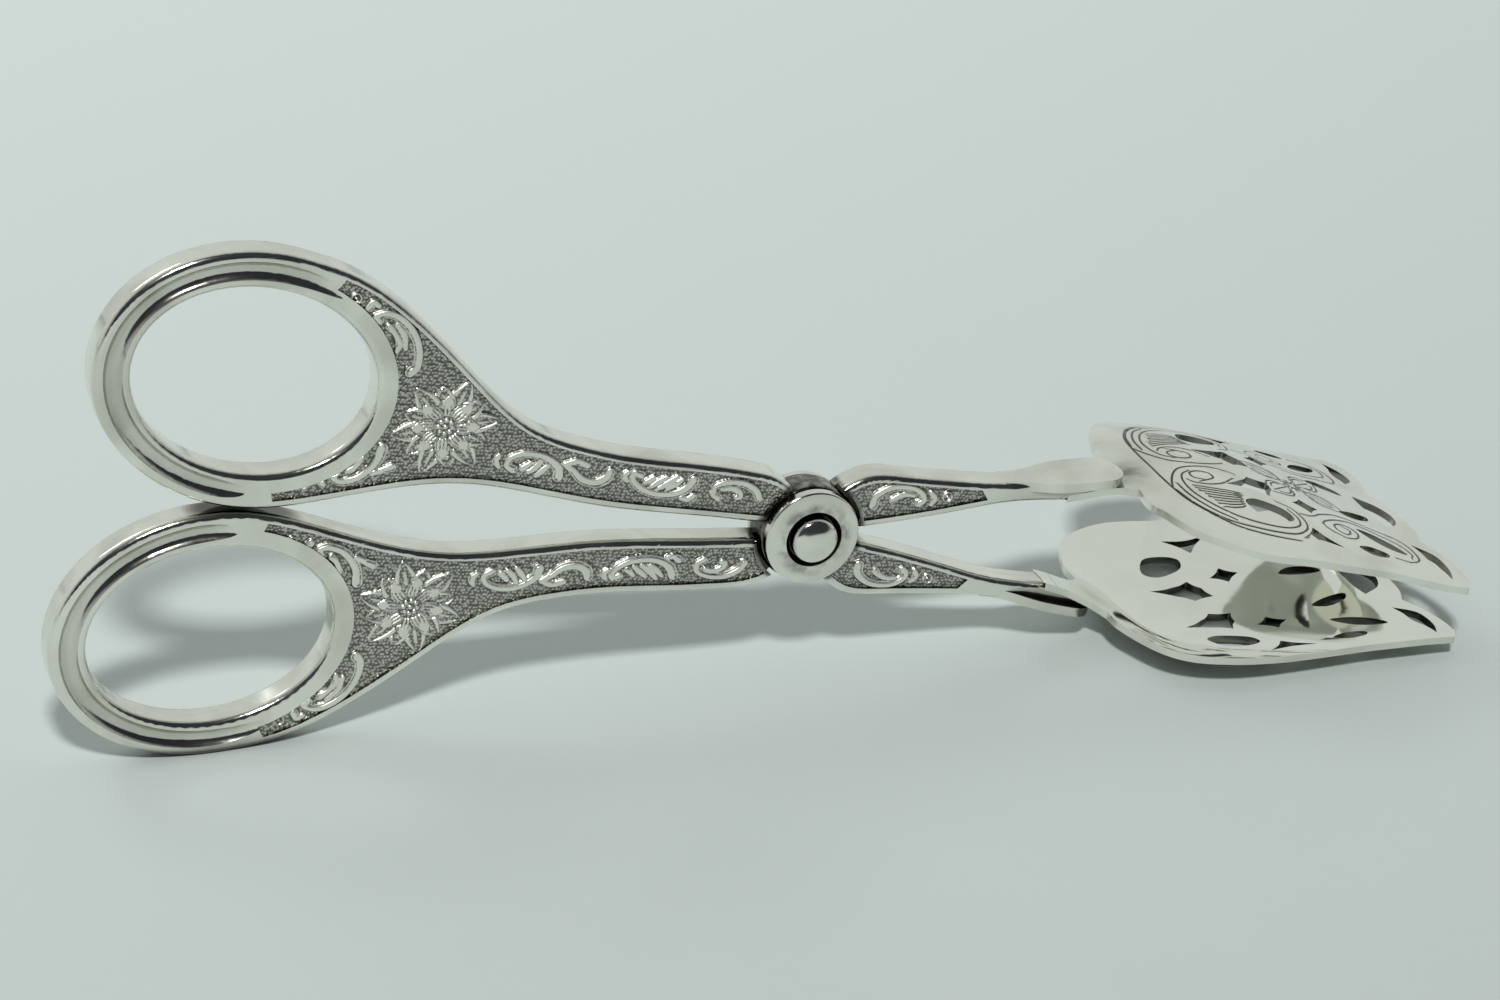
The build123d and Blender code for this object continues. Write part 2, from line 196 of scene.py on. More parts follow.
def strokes_height(x, y, strokes):
    """0 to 1: flat-topped ridges with sloping sides along each stroke."""
    height = np.zeros_like(x)
    for stroke in strokes:
        line = smooth(stroke, STROKE_STEP)
        line[:, 2] += WIDEN
        ahead = np.gradient(line[:, :2], axis=0)
        reach = line[:, 2].max()
        near = np.flatnonzero((x > line[:, 0].min() - reach) & (x < line[:, 0].max() + reach)
                              & (y > line[:, 1].min() - reach) & (y < line[:, 1].max() + reach))
        away_x, away_y = x[near, None] - line[:, 0], y[near, None] - line[:, 1]
        place = 1 - np.hypot(away_x, away_y) / line[:, 2]
        best = place.argmax(axis=1)
        rows = np.arange(len(near))
        place = place[rows, best]
        rise = np.clip(place / SHOULDER, 0, 1)
        inner = ahead[best, 0] * away_y[rows, best] - ahead[best, 1] * away_x[rows, best] < 0
        crease = np.exp(-((place - CREASE_PLACE) / CREASE_WIDTH) ** 2) * inner
        crease *= CREASE_DEPTH * (line[best, 2] > CREASE_FROM)
        height[near] = np.maximum(height[near], rise * (2 - rise) - crease)
    return height


def rings_height(x, y, centres):
    """0 to 1: a bead inside a wire ring at each centre."""
    height = np.zeros_like(x)
    for cx, cy in centres:
        r = np.hypot(x - cx, y - cy)
        wire = 1 - (np.abs(r - RING_R) / RING_WIRE) ** 2
        height = np.maximum(height, np.maximum(wire, 1 - (r / RING_BEAD) ** 2))
    return np.clip(height, 0, 1)


FLOWER_SQUASH = 1.06        # the flower is this much wider than high
OUTER_PETALS, OUTER_START = 12, math.radians(72)
LONG_PETAL, SHORT_PETAL, OUTER_HALF = 6.7, 5.6, 1.5
OUTER_ROOT, INNER_ROOT = 1.2, 0.7           # where the petals start, from the heart
INNER_PETALS, INNER_PETAL, INNER_HALF = 8, 4.3, 1.35
PETAL_SKEW, PETAL_BLUNT = 0.9, 0.75         # exponents that shape a petal's outline
OUTLINE, HOLLOW = 0.42, 0.62                # an outer petal's raised border, and the height inside it
VEIN_PLACE, VEIN_END, VEIN_HEIGHT = 0.86, 0.75, 0.85
PLEAT_TURNS, PLEAT_HEIGHT = 19, 0.66
HEART_R, HEART_HEIGHT = 1.6, 0.4
HEART_BEADS, BEAD_RING, BEAD_R = 8, 0.88, 0.4


def petal(x, y, turn, start, end, half):
    """Place in a pointed petal, 1 on its middle line and 0 on its outline, and the share of its length."""
    along = x * math.cos(turn) + y * math.sin(turn)
    across = np.abs(y * math.cos(turn) - x * math.sin(turn))
    share = np.clip((along - start) / (end - start), 0.001, 0.999)
    place = 1 - across / (half * np.sin(np.pi * share ** PETAL_SKEW) ** PETAL_BLUNT + 0.02)
    return np.where((along > start) & (along < end), place, -1.0), share


def outer_petal(place, share):
    """Height across an outlined, hollow petal with a raised middle vein."""
    border = np.clip(place / 0.1, 0, 1)
    inside_it = np.clip(1 - (place - OUTLINE) / 0.12, HOLLOW, 1)
    wall = np.where(place < OUTLINE, border, inside_it)
    return np.where((place > VEIN_PLACE) & (share < VEIN_END), VEIN_HEIGHT, wall)


def inner_petal(place, share):
    """Height across a full petal with pleats that run out from the heart."""
    body = np.clip((place - 0.1) / 0.12, 0.35, 1)
    pleats = (np.cos(place * PLEAT_TURNS) > 0.2) & (share < 0.85 - 0.3 * place)
    return np.where(pleats, PLEAT_HEIGHT, body)


def flower_height(x, y):
    """0 to 1: outlined hollow petals round full petals, and a beaded heart."""
    x, y = x - FLOWER[0], (y - FLOWER[1]) * FLOWER_SQUASH
    height = np.zeros_like(x)
    for k in range(OUTER_PETALS):
        turn = OUTER_START + 2 * math.pi * k / OUTER_PETALS
        place, share = petal(x, y, turn, OUTER_ROOT, SHORT_PETAL if k % 2 else LONG_PETAL, OUTER_HALF)
        height = np.where(place > 0, outer_petal(place, share), height)
    for k in range(INNER_PETALS):
        turn = OUTER_START + 2 * math.pi * (k + 0.5) / INNER_PETALS
        place, share = petal(x, y, turn, INNER_ROOT, INNER_PETAL, INNER_HALF)
        height = np.where(place > 0, inner_petal(place, share), height)
    height = np.where(np.hypot(x, y) < HEART_R, HEART_HEIGHT, height)
    turns = np.arange(HEART_BEADS) * 2 * math.pi / HEART_BEADS
    beads = [(0.0, 0.0)] + [(BEAD_RING * math.cos(turn), BEAD_RING * math.sin(turn)) for turn in turns]
    for bx, by in beads:
        bead = np.sqrt(np.clip(1 - ((x - bx) ** 2 + (y - by) ** 2) / BEAD_R ** 2, 0, 1))
        height = np.maximum(height, bead)
    return height


def pocket_loops(node, face_z):
    """Boundary edges of a lever's pocket floors on one face, as rows (x0, y0, x1, y1) in the drawing."""
    mesh = frame["nodes"][node].data
    mesh.calc_loop_triangles()
    points = np.array([v.co for v in mesh.vertices])
    x, y, z = from_world(points)
    floor_z = face_z - math.copysign(PANEL_DEPTH, face_z)
    on_floor = np.abs(z - floor_z) < FLOOR_SLACK
    keys = np.round(np.stack([x, y], axis=-1), 3)
    used = {}
    for triangle in mesh.loop_triangles:
        corners = list(triangle.vertices)
        if all(on_floor[c] for c in corners):
            for a, b in zip(corners, corners[1:] + corners[:1]):
                edge = tuple(sorted((tuple(keys[a]), tuple(keys[b]))))
                used[edge] = used.get(edge, 0) + 1
    return np.array([[*a, *b] for (a, b), count in used.items() if count == 1])


def edge_distance(x, y, edges):
    """Distance from each point to the nearest edge, and whether the point is inside them all."""
    best = np.full(len(x), 1e9)
    odd = np.zeros(len(x), bool)
    for x0, y0, x1, y1 in edges:
        dx, dy = x1 - x0, y1 - y0
        share = np.clip(((x - x0) * dx + (y - y0) * dy) / (dx * dx + dy * dy), 0, 1)
        best = np.minimum(best, np.hypot(x - x0 - share * dx, y - y0 - share * dy))
        if y0 != y1:
            odd ^= ((y0 > y) != (y1 > y)) & (x < dx * (y - y0) / dy + x0)
    return best, odd


def ornament_height(x, y, jaw):
    """0 to 1 over one panel: its strokes, ringed beads and flower."""
    strokes, rings = (JAW_STROKES, JAW_RINGS) if jaw else (HANDLE_STROKES, HANDLE_RINGS)
    height = np.maximum(strokes_height(x, y, strokes), rings_height(x, y, rings))
    return height if jaw else np.maximum(height, flower_height(x, y))


def grid_quads(kept, columns, rows):
    """Faces between the kept points of a grid, numbered by their place among the kept ones."""
    index = np.full(len(kept), -1)
    index[kept] = np.arange(kept.sum())
    grid = index.reshape(columns, rows)
    quads = np.stack([grid[:-1, :-1], grid[1:, :-1], grid[1:, 1:], grid[:-1, 1:]], axis=-1)
    quads = quads.reshape(-1, 4)
    return quads[(quads >= 0).all(axis=1)]


def relief_sheet(name, node, body, face_z, mirror, jaw):
    """The ornament of one panel: a fine mesh on the pocket's floor, its edges tucked into the metal."""
    edges = pocket_loops(node, face_z)
    edges[:, [1, 3]] *= mirror
    middle = (edges[:, 0] + edges[:, 2]) / 2
    edges = edges[(middle > 0) == jaw]
    low = edges.reshape(-1, 2).min(axis=0) - 2 * TUCK
    high = edges.reshape(-1, 2).max(axis=0) + 2 * TUCK
    xs, ys = np.arange(low[0], high[0], GRID), np.arange(low[1], high[1], GRID)
    x, y = (a.ravel() for a in np.meshgrid(xs, ys, indexing="ij"))
    gap, within = edge_distance(x, y, edges)
    kept = within | (gap < TUCK)
    ornament, mounds = ornament_height(x, y, jaw), punched(x, y)
    height = np.maximum(GROUND + MOUND_HEIGHT * mounds, GROUND + (RELIEF_TOP - GROUND) * ornament)
    height = np.where(within, height, GROUND)
    # Tops of the strokes are rubbed bright; their sloping sides stay dark, as patina and painted shade.
    rubbed = np.clip((ornament - RUB_FROM) * RUB_SLOPE, 0, 1)
    shine = np.maximum(MOUND_SHINE * np.clip(mounds, 0, 1) ** 1.2, rubbed)
    side = math.copysign(1, face_z)
    place = to_world(x, mirror * y, face_z + side * (height - PANEL_DEPTH))
    quads = grid_quads(kept, len(xs), len(ys))
    if side * mirror < 0:
        quads = quads[:, ::-1]
    piece = new_mesh(name, place[kept], quads)
    paint(piece, "shine", shine[kept])
    piece.data.materials.append(material_relief)
    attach(piece, body)


def new_mesh(name, points, faces):
    """A smooth-shaded object of these points and faces."""
    mesh = bpy.data.meshes.new(name)
    mesh.from_pydata([tuple(p) for p in points], [], [tuple(int(i) for i in f) for f in faces])
    mesh.validate()
    mesh.polygons.foreach_set("use_smooth", [True] * len(mesh.polygons))
    mesh.update()
    piece = bpy.data.objects.new(name, mesh)
    bpy.context.collection.objects.link(piece)
    return piece


def paint(piece, name, values, domain="POINT"):
    """A number at each vertex or face that a material reads."""
    layer = piece.data.attributes.new(name, "FLOAT", domain)
    layer.data.foreach_set("value", np.asarray(values, np.float32))


# ---- scoops --------------------------------------------------------------------------------------

# Outer surface of the upper scoop: X, height on the middle line, droop at the side.
SCOOP_LINE = [(33.0, 6.3, 1.8), (37.2, 7.2, 2.0), (40.5, 8.25, 2.1), (44.4, 9.6, 2.3), (48.0, 10.6, 2.7),
              (54.0, 11.0, 3.1), (60.5, 10.35, 2.9), (67.5, 8.9, 2.4), (75.0, 7.0, 1.6), (83.0, 5.15, 0.9),
              (91.0, 4.3, 0.7)]
SCOOP_HALF = 19.8                   # distance from the middle line where the droop is measured
DROOP_POWER = 2.4
SHEET = 0.95                        # thickness

# Half of the outline, X and distance from the middle line, and the openings on that side.
STEM = [(35.0, 2.1), (37.0, 2.12), (39.0, 2.3), (41.4, 3.1), (43.3, 4.9)]
SIDE = [(43.3, 4.9), (43.1, 7.6), (43.9, 10.5), (47.0, 16.6), (54.0, 19.9), (64.0, 20.0), (73.0, 19.5),
        (80.0, 19.7), (86.0, 19.8)]
LOBE = [(86.0, 19.8), (87.2, 17.4), (87.3, 14.0), (86.6, 10.4), (85.3, 7.4)]
LIP = [(85.3, 7.4), (86.2, 5.4), (86.6, 3.6), (86.9, 0.0)]
ROUND_OPENINGS = [
    [(56.0, 9.8), (57.6, 8.6), (60.0, 9.1), (62.0, 10.3), (62.3, 12.1), (60.4, 13.0), (57.4, 12.7)],
    [(73.6, 4.7), (76.0, 3.5), (78.9, 3.3), (78.2, 4.9), (75.4, 5.8)],
    [(73.7, 9.4), (76.2, 9.8), (78.8, 11.4), (79.9, 13.3), (77.3, 13.0), (75.0, 11.5)],
    [(71.2, 14.8), (73.4, 14.0), (75.9, 14.7), (75.2, 15.8), (72.8, 16.0)],
]
HOLLOW_SIDED = [
    [(55.2, 5.3), (58.2, 3.6), (60.2, 1.9), (63.1, 2.5), (62.5, 4.9), (61.3, 6.9), (58.8, 5.9)],
    [(64.7, 6.9), (66.7, 5.2), (68.8, 7.0), (66.8, 8.8)],
    [(61.6, 16.1), (64.7, 13.0), (68.2, 16.1)],
]
SIDE_HOLLOW = 0.07                  # how far those sides bend in, as a part of their length
CRESCENT = [[(82.7, 9.3), (85.1, 11.2), (85.6, 13.4), (85.3, 15.9), (84.4, 18.0)],
            [(84.4, 18.0), (84.1, 15.8), (83.3, 13.6), (83.2, 11.4), (82.7, 9.3)]]
MIDDLE_OPENING = [[(81.4, -4.7), (84.1, -3.0), (85.2, 0.0), (84.1, 3.0), (81.4, 4.7)],
                  [(81.4, 4.7), (81.05, 2.4), (81.0, 0.0), (81.05, -2.4), (81.4, -4.7)]]

# Engraved lines on one side of the scoop: X and distance from the middle line.
ENGRAVED = [
    [(47.0, 0.0), (47.0, 3.0), (47.2, 6.0), (47.6, 8.6), (48.5, 10.9), (50.1, 13.3), (52.2, 15.1),
     (54.8, 16.1), (57.8, 16.6), (61.0, 16.7)],
    [(47.3, 5.8), (47.9, 4.2), (48.9, 2.5), (50.3, 1.2), (52.4, 0.6), (54.8, 0.5), (57.0, 1.0),
     (58.4, 1.7)],
    [(47.3, 6.2), (48.1, 9.6), (49.6, 12.3), (51.8, 14.2), (54.9, 15.2), (58.0, 15.6), (61.2, 15.3),
     (63.5, 13.7), (64.2, 11.5), (63.4, 9.2), (61.4, 8.0)],
    [(51.4, 1.9), (49.9, 3.0), (49.2, 5.0), (49.3, 7.6), (50.3, 10.0), (52.0, 12.1), (54.3, 13.6),
     (57.4, 14.4), (60.4, 14.3), (62.6, 13.2), (63.2, 11.4), (62.6, 9.9)],
    [(48.2, 5.2), (48.4, 7.6), (49.2, 10.0), (50.6, 12.2), (52.6, 13.9)],
    [(52.6, 4.5), (51.2, 3.9), (51.2, 2.6), (52.6, 2.0), (54.0, 2.5), (54.1, 3.8), (52.9, 4.5),
     (51.6, 5.0)],
    [(50.0, 4.4), (50.8, 5.3), (52.6, 5.7), (54.6, 5.3), (56.0, 4.4), (57.2, 3.4)],
    [(64.3, 9.9), (66.4, 9.6), (68.6, 8.2), (71.6, 6.9), (74.0, 6.9), (77.4, 7.8), (80.6, 8.6),
     (81.8, 10.8), (81.5, 13.8), (79.6, 15.2), (77.2, 15.2)],
    [(70.0, 13.2), (68.2, 12.2), (67.6, 10.8), (69.2, 9.4), (71.8, 8.2), (74.2, 7.9), (77.3, 9.0),
     (80.0, 10.4), (80.9, 12.6), (80.2, 14.0)],
    [(71.6, 11.6), (70.6, 12.2), (69.5, 11.6), (69.6, 10.4), (71.0, 9.6), (72.6, 9.9), (73.0, 11.2),
     (72.0, 12.6), (70.2, 13.2)],
    [(71.2, 10.4), (71.9, 10.8), (71.5, 11.6)],
]
STRIAE = 8                          # lines that fan out from the big volute's border
# Points along one of those lines, at the fan's first edge, and how far they move to its last edge.
FAN = [(49.8, 5.6, 2.6, 6.0), (52.2, 6.4, 1.6, 5.2), (54.4, 6.9, 0.6, 4.4), (56.2, 7.3, -0.8, 3.6)]
FLOWER_X = 68.6                     # the engraved flower, on the middle line
PETAL_TURNS = (math.radians(38), math.radians(142))
PETAL_START, PETAL_LENGTH, PETAL_WIDTH = 1.6, 6.0, 2.0      # the width is measured to one side
VEIN_TURN, VEIN_SCALE = 0.13, 0.96  # a petal's side veins are its outline turned inwards and shortened
RAYS, RAY = 7, (0.7, 1.15, 1.5)     # short lines round the flower's heart, on one side
ENGRAVED_STEP = 0.22                # spacing of points along an engraved line
GROOVE_HALF, GROOVE_DEPTH = 0.21, 0.15      # of an engraved line
EDGE_STEP = 0.35                    # spacing along an edge
RIM_ROWS = (0.18, 0.5)              # rows of points beside every edge
FIELD_STEP = 0.8                    # spacing of the plain surface
FIELD_X, FIELD_W = (35.4, 87.0), (-19.6, 19.7)
LEAST_GAP = 0.11                    # between mesh points
SOLDER_X, SOLDER_LENGTH, SOLDER_WIDTH = 43.6, 2.2, 3.0      # dark stain beside the jaw's tongue


def between(x, column):
    """Cubic interpolation of a column of SCOOP_LINE at X."""
    table = np.array(SCOOP_LINE)
    knots, values = table[:, 0], table[:, column]
    slopes = np.gradient(values, knots)
    k = np.clip(np.searchsorted(knots, x) - 1, 0, len(knots) - 2)
    span = knots[k + 1] - knots[k]
    t = (x - knots[k]) / span
    return ((1 + 2 * t) * (1 - t) ** 2 * values[k] + t * (1 - t) ** 2 * span * slopes[k]
            + t * t * (3 - 2 * t) * values[k + 1] + t * t * (t - 1) * span * slopes[k + 1])


def scoop_height(x, w):
    """Height of the outer surface above the line between the levers."""
    return between(x, 1) - between(x, 2) * (np.abs(w) / SCOOP_HALF) ** DROOP_POWER


def flip(rows):
    """The same line on the other side of the middle, run the other way."""
    return [(x, -w) for x, w in rows][::-1]


def joined(parts, step):
    """Curves that meet at corners, as one row of points."""
    return np.vstack([smooth(part, step)[:-1] for part in parts])


def hollow_sides(corners):
    """The sides of a shape that bend inwards between its corners, three points to a side."""
    rows = np.array(corners)
    middle = rows.mean(axis=0)
    sides = []
    for start, end in zip(rows, np.roll(rows, -1, axis=0)):
        half = (start + end) / 2
        pull = SIDE_HOLLOW * np.linalg.norm(end - start) / np.linalg.norm(middle - half)
        sides.append([tuple(start), tuple(half + (middle - half) * pull), tuple(end)])
    return sides


def scoop_loops():
    """The outline and every opening as closed loops."""
    half = [STEM, SIDE, LOBE, LIP]
    outline = joined(half + [flip(part) for part in half[::-1]], EDGE_STEP)
    start = smooth([(35.0, -2.1), (35.0, 2.1)], EDGE_STEP)[:-1]
    loops = [np.vstack([outline, start])]
    for points in ROUND_OPENINGS:
        loops += [smooth(points, EDGE_STEP, closed=True), smooth(flip(points), EDGE_STEP, closed=True)]
    for parts in [hollow_sides(corners) for corners in HOLLOW_SIDED] + [CRESCENT]:
        loops += [joined(parts, EDGE_STEP), joined([flip(part) for part in parts[::-1]], EDGE_STEP)]
    loops.append(joined(MIDDLE_OPENING, EDGE_STEP))
    return loops


def turned(x, w, turn):
    """A point turned about the origin."""
    return x * math.cos(turn) - w * math.sin(turn), x * math.sin(turn) + w * math.cos(turn)


def ray(turn, distances):
    """Points on a straight line out from the engraved flower's heart."""
    return [(FLOWER_X + r * math.cos(turn), r * math.sin(turn)) for r in distances]


def petal_lines(turn):
    """Outline and veins of one engraved petal of the scoop's flower."""
    lines = []
    for side in (-1, 1):
        border = []
        for share in np.linspace(0, 1, 7):
            along = PETAL_START + PETAL_LENGTH * share
            across = side * PETAL_WIDTH * math.sin(math.pi * share ** 0.85)
            border.append(turned(along, across, turn))
        lines.append([(FLOWER_X + x, w) for x, w in border])
        vein = [turned(VEIN_SCALE * x, VEIN_SCALE * w, -side * VEIN_TURN) for x, w in border[1:5]]
        lines.append([(FLOWER_X + x, w) for x, w in vein])
    lines.append(ray(turn, (2.2, 4.0, 6.0)))
    return lines


def engraved_lines():
    """Every engraved line of a scoop, on both sides of its middle line."""
    lines = list(ENGRAVED)
    for k in range(STRIAE):
        share = (k + 0.5) / STRIAE
        lines.append([(x + dx * share, w + dw * share) for x, w, dx, dw in FAN])
    for turn in PETAL_TURNS:
        lines += petal_lines(turn)
    for k in range(RAYS):
        lines.append(ray(math.pi * (k + 0.5) / RAYS, RAY))
    return lines + [flip(line) for line in lines]


def beside(line, distance):
    """The line moved sideways."""
    along = np.gradient(line, axis=0)
    along /= np.linalg.norm(along, axis=1)[:, None] + 1e-9
    return line + distance * np.stack([-along[:, 1], along[:, 0]], axis=-1)


def scoop_points(loops):
    """Mesh points of the scoop seen from above, and how deep each is cut."""
    edge = np.vstack(loops)
    seeds, depths = [edge], [np.zeros(len(edge))]
    for loop in loops:
        for distance in [side * row for side in (-1, 1) for row in RIM_ROWS]:
            rim = beside(np.vstack([loop, loop[:1]]), distance)[:-1]
            seeds.append(rim)
            depths.append(np.zeros(len(rim)))
    for rows in engraved_lines():
        line = smooth(rows, ENGRAVED_STEP)
        taper = np.sin(np.linspace(0.12, 0.88, len(line)) * math.pi) ** 0.4
        for distance, depth in ((0, 1), (-GROOVE_HALF, 0), (GROOVE_HALF, 0)):
            seeds.append(beside(line, distance))
            depths.append(depth * taper)
    xs, ws = np.meshgrid(np.arange(*FIELD_X, FIELD_STEP), np.arange(*FIELD_W, FIELD_STEP), indexing="ij")
    seeds.append(np.stack([xs.ravel(), ws.ravel()], axis=-1))
    depths.append(np.zeros(xs.size))
    return len(edge), np.vstack(seeds), np.concatenate(depths)


def thin_out(points, depths, fixed, gap):
    """Keeps the first `fixed` points and drops later ones that lie too near an earlier one."""
    cells, kept = {}, []
    order = list(range(fixed)) + sorted(range(fixed, len(points)), key=lambda i: -depths[i])
    for i in order:
        cx, cy = int(points[i][0] // gap), int(points[i][1] // gap)
        close = [j for dx in (-1, 0, 1) for dy in (-1, 0, 1) for j in cells.get((cx + dx, cy + dy), ())]
        if i < fixed or all(math.dist(points[i], points[j]) > gap for j in close):
            cells.setdefault((cx, cy), []).append(i)
            kept.append(i)
    return kept


def scoop_mesh():
    """The scoop in plan: points, cut depths, which points are on the outline, and the triangles."""
    loops = scoop_loops()
    fixed, points, depths = scoop_points(loops)
    on_metal = inside(points[:, 0], points[:, 1], loops)
    on_metal[:fixed] = True
    points, depths = points[on_metal], depths[on_metal]
    kept = thin_out(points, depths, fixed, LEAST_GAP)
    points, depths = points[kept], depths[kept]
    edges, first = [], 0
    for loop in loops:
        count = len(loop)
        edges += [(first + i, first + (i + 1) % count) for i in range(count)]
        first += count
    result = delaunay_2d_cdt([Vector(p) for p in points], edges, [], 0, 1e-5)
    plan = np.array([tuple(v) for v in result[0]])
    origin = [source[0] if source else -1 for source in result[3]]
    cut = np.array([depths[i] if i >= 0 else 0.0 for i in origin])
    rim = np.array([0 <= i < len(loops[0]) for i in origin])
    triangles = np.array([tuple(face) for face in result[2]])
    middle = plan[triangles].mean(axis=1)
    triangles = triangles[inside(middle[:, 0], middle[:, 1], loops)]
    a, b, c = plan[triangles[:, 0]], plan[triangles[:, 1]], plan[triangles[:, 2]]
    turn = (b - a)[:, 0] * (c - a)[:, 1] - (b - a)[:, 1] * (c - a)[:, 0]
    triangles = np.where(turn[:, None] > 0, triangles, triangles[:, ::-1])
    return plan, cut, rim, triangles


def border_edges(triangles):
    """Edges used by one triangle only, in the direction it runs along them."""
    used = {}
    for i, j, k in triangles:
        for p, q in ((i, j), (j, k), (k, i)):
            used[p, q] = True
    return [(p, q) for p, q in used if (q, p) not in used]


def build_scoop(name, node, body, up, shape):
    """One scoop from `shape`, which scoop_mesh() gives; `up` is 1 for the upper one and -1 for the lower."""
    plan, cut, rim, triangles = shape
    x, w = plan[:, 0], plan[:, 1]
    top = scoop_height(x, w)
    outer, inner = top - GROOVE_DEPTH * cut, top - SHEET
    points = np.vstack([to_world(x, up * outer, -w), to_world(x, up * inner, -w)])
    count = len(plan)
    border = border_edges(triangles)
    faces = [tuple(t) for t in triangles] + [tuple(t[::-1] + count) for t in triangles]
    faces += [(q, p, p + count, q + count) for p, q in border]
    if up < 0:
        faces = [face[::-1] for face in faces]
    piece = new_mesh(name, points, faces)
    walls = {frozenset(edge) for p, q in border for edge in ((p, q), (p + count, q + count))}
    for edge in piece.data.edges:
        edge.use_edge_sharp = frozenset(edge.vertices) in walls
    hole_wall = [not rim[p] for p, q in border]
    paint(piece, "wall", [0.0] * (2 * len(triangles)) + hole_wall, "FACE")
    solder = np.exp(-(((x - SOLDER_X) / SOLDER_LENGTH) ** 2 + (w / SOLDER_WIDTH) ** 2))
    solder *= 0.75 + 0.25 * scatter(np.round(x * 3), w // 0.4, 5)
    paint(piece, "cut", np.concatenate([cut, np.zeros(count)]))
    paint(piece, "solder", np.concatenate([solder, solder * 0.5]))
    piece.data.materials.append(material_scoop)
    piece.data.materials.append(material_bowl)
    for polygon in piece.data.polygons[len(triangles):2 * len(triangles)]:
        polygon.material_index = 1
    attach(piece, body)
    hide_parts(node)


# ---- materials -----------------------------------------------------------------------------------

SILVER = (0.885, 0.885, 0.81)
TARNISH = (0.36, 0.335, 0.25)
PATINA = (0.06, 0.057, 0.042)
# Dark colour of the struck relief: patina on the punched ground, and painted shade on the strokes' sloping
# sides.
STRUCK_GROUND = (0.15, 0.147, 0.128)
CORNER_REACH, CORNER_DARK, CORNER_CLEAR = 0.0025, 0.5, 0.975    # metres, and how open a corner is
# Stains round the pivot: inner and outer radius, and how soft their edges are, in metres.
LAP_STAIN = (0.0061, 0.0072, 0.0005)
CAP_CLOUD = (0.0036, 0.0043, 0.0011)
CAP_GROOVE = (0.00305, 0.0036, 0.00015)


class Nodes:
    """A material's node tree with short calls for what these materials repeat."""

    def __init__(self, name):
        self.material = bpy.data.materials.new(name)
        self.material.use_nodes = True
        self.tree = self.material.node_tree
        self.shader = self.tree.nodes["Principled BSDF"]
        self.place = self.add("ShaderNodeTexCoord").outputs["Object"]

    def add(self, kind, **values):
        node = self.tree.nodes.new(kind)
        for key, value in values.items():
            setattr(node, key, value)
        return node

    def link(self, source, target):
        self.tree.links.new(source, target)

    def noise(self, scale, detail=3.0, stretch=None, distortion=0.0):
        """Noise over the piece, drawn out along one direction where `stretch` is given."""
        node = self.add("ShaderNodeTexNoise")
        node.inputs["Scale"].default_value = scale
        node.inputs["Detail"].default_value = detail
        node.inputs["Distortion"].default_value = distortion
        source = self.place
        if stretch:
            mapping = self.add("ShaderNodeMapping")
            mapping.inputs["Scale"].default_value = stretch
            mapping.inputs["Rotation"].default_value = (0.3, 0.5, 0.4)
            self.link(source, mapping.inputs["Vector"])
            source = mapping.outputs["Vector"]
        self.link(source, node.inputs["Vector"])
        return node.outputs["Fac"]

    def ramp(self, source, low, high, out_low, out_high):
        """The source's range from low to high as one from out_low to out_high."""
        node = self.add("ShaderNodeMapRange")
        node.inputs["From Min"].default_value = low
        node.inputs["From Max"].default_value = high
        node.inputs["To Min"].default_value = out_low
        node.inputs["To Max"].default_value = out_high
        self.link(source, node.inputs["Value"])
        return node.outputs["Result"]

    def math(self, operation, first, second):
        node = self.add("ShaderNodeMath", operation=operation)
        for socket, value in zip(node.inputs, (first, second)):
            if isinstance(value, (int, float)):
                socket.default_value = value
            else:
                self.link(value, socket)
        return node.outputs["Value"]

    def mix(self, share, first, second):
        node = self.add("ShaderNodeMix", data_type="RGBA")
        self.link(share, node.inputs["Factor"])
        for socket, value in ((node.inputs["A"], first), (node.inputs["B"], second)):
            if isinstance(value, tuple):
                socket.default_value = (*value, 1.0)
            else:
                self.link(value, socket)
        return node.outputs["Result"]

    def attribute(self, name):
        return self.add("ShaderNodeAttribute", attribute_name=name).outputs["Fac"]

    def from_pivot(self):
        """Distance in metres from the pivot's axis, across it."""
        away = self.add("ShaderNodeVectorMath", operation="SUBTRACT")
        away.inputs[1].default_value = PIVOT
        flat = self.add("ShaderNodeVectorMath", operation="MULTIPLY")
        flat.inputs[1].default_value = (1, 0, 1)
        length = self.add("ShaderNodeVectorMath", operation="LENGTH")
        self.link(self.place, away.inputs[0])
        self.link(away.outputs["Vector"], flat.inputs[0])
        self.link(flat.outputs["Vector"], length.inputs[0])
        return length.outputs["Value"]

    def collar(self, inner, outer, soft):
        """1 between two radii from the pivot's axis, fading over `soft` metres."""
        away = self.from_pivot()
        rise = self.ramp(away, inner - soft, inner, 0, 1)
        fall = self.ramp(away, outer, outer + soft, 1, 0)
        return self.math("MULTIPLY", rise, fall)

    def recess(self, distance, low, high):
        """1 in tight corners and 0 in the open."""
        node = self.add("ShaderNodeAmbientOcclusion", samples=8)
        node.inputs["Distance"].default_value = distance
        return self.ramp(node.outputs["AO"], low, high, 1.0, 0.0)


